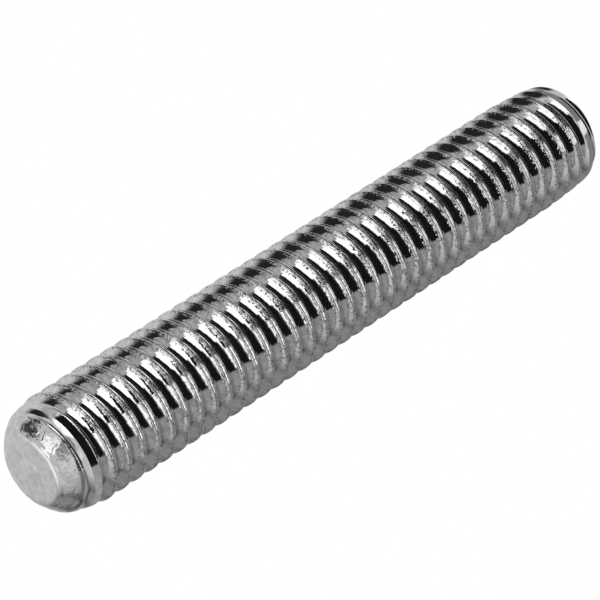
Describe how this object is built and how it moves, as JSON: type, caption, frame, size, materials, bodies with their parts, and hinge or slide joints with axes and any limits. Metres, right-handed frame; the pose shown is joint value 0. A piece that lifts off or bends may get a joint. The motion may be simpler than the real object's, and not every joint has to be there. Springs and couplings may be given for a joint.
{
  "type": "threaded stud",
  "caption": "Fully threaded metal stud with a right-hand coarse metric thread from end to end and chamfered ends, for joining parts with nuts or tapped holes.",
  "frame": {"origin": "centre of the foot, the stud's lower flat end", "axes": "+Z along the stud's axis, from the foot to the head end; -Y is the side where a crest meets the level of the foot"},
  "size_m": [0.0078, 0.0078, 0.0498],
  "materials": {
    "plated_steel": "bright plated rolled steel"
  },
  "bodies": {
    "root": {"threaded_stud": "plated_steel"}
  },
  "joints": []
}
